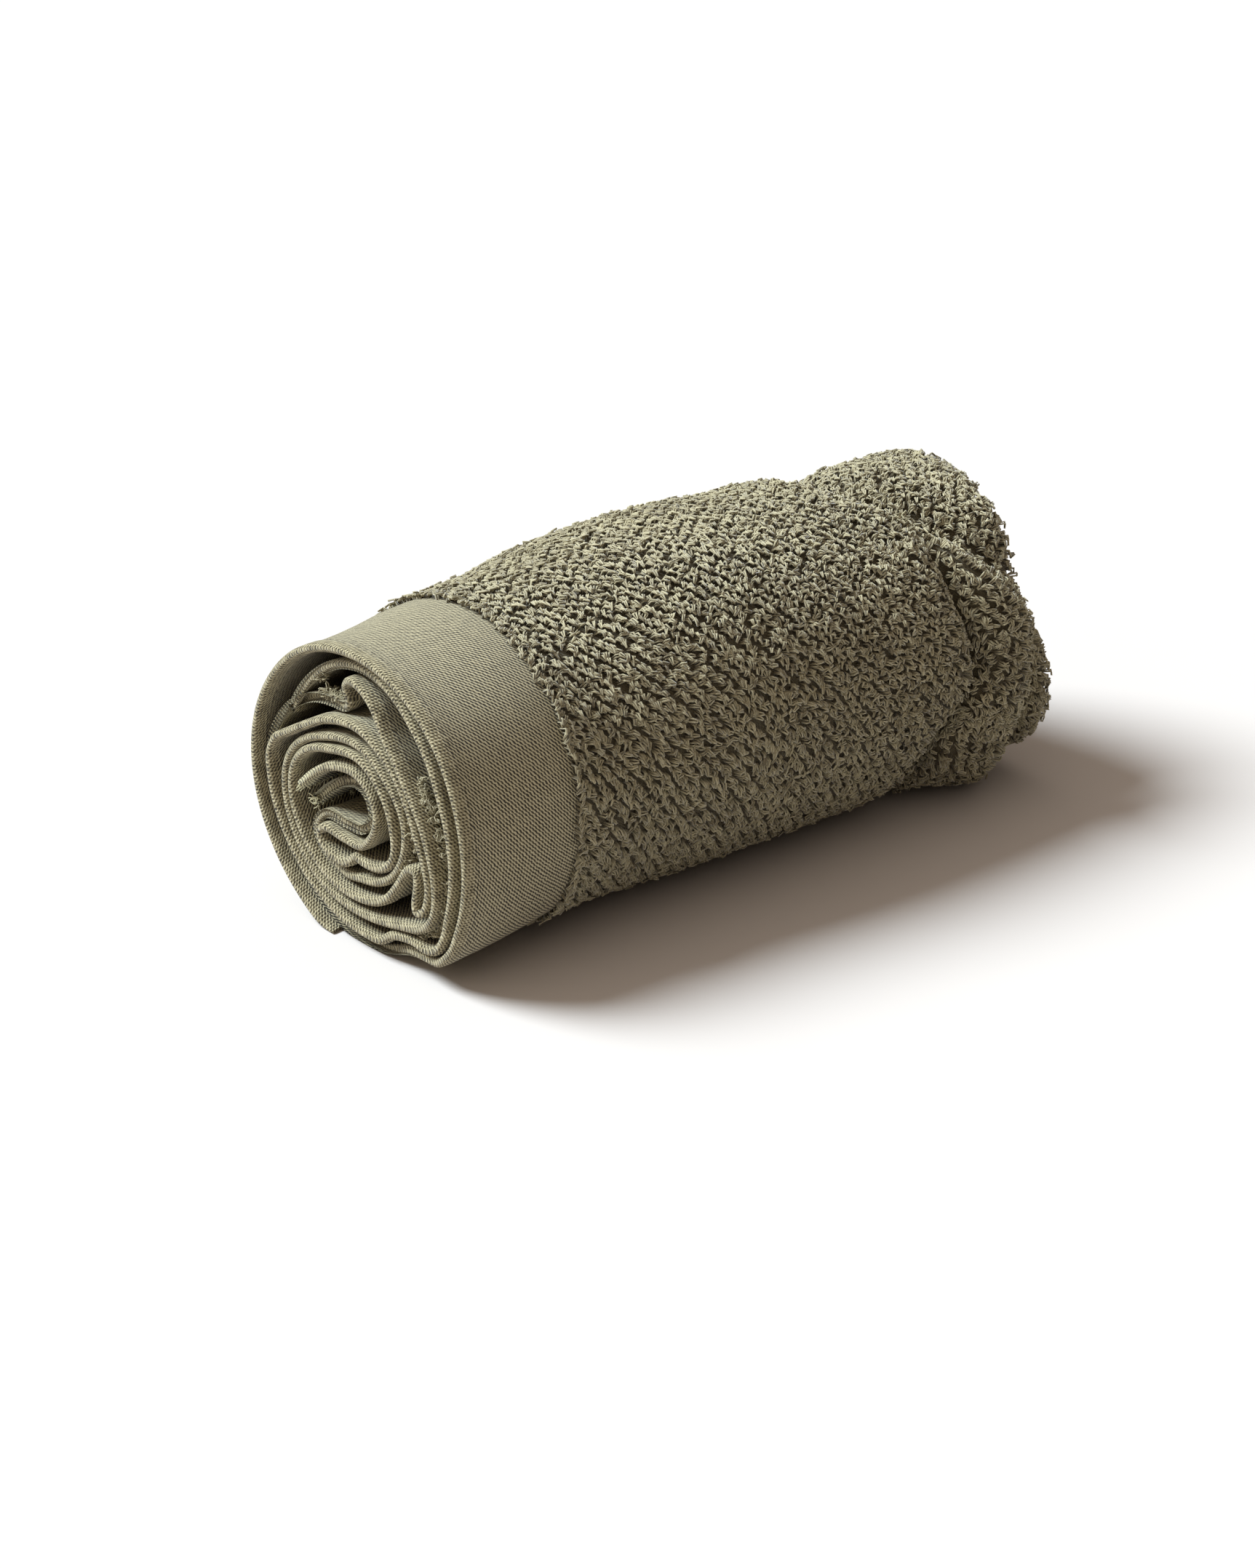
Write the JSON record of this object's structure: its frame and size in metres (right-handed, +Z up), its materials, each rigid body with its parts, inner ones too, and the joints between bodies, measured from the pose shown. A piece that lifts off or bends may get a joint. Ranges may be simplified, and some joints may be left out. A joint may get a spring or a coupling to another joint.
{
  "type": "rolled face towel",
  "caption": "Terry face towel folded in half and rolled up, with flat woven bands and hems showing as a spiral at one end",
  "frame": {"origin": "middle of the bounding box in X and Y, at the flat spot that the roll rests on", "axes": "X along the roll, from the hemmed end at -X to the folded end at +X; Z up"},
  "size_m": [0.1556, 0.0764, 0.0671],
  "materials": {
    "olive_terry": "soft looped cotton, matt"
  },
  "bodies": {
    "root": {"towel_roll": "olive_terry"}
  },
  "joints": []
}
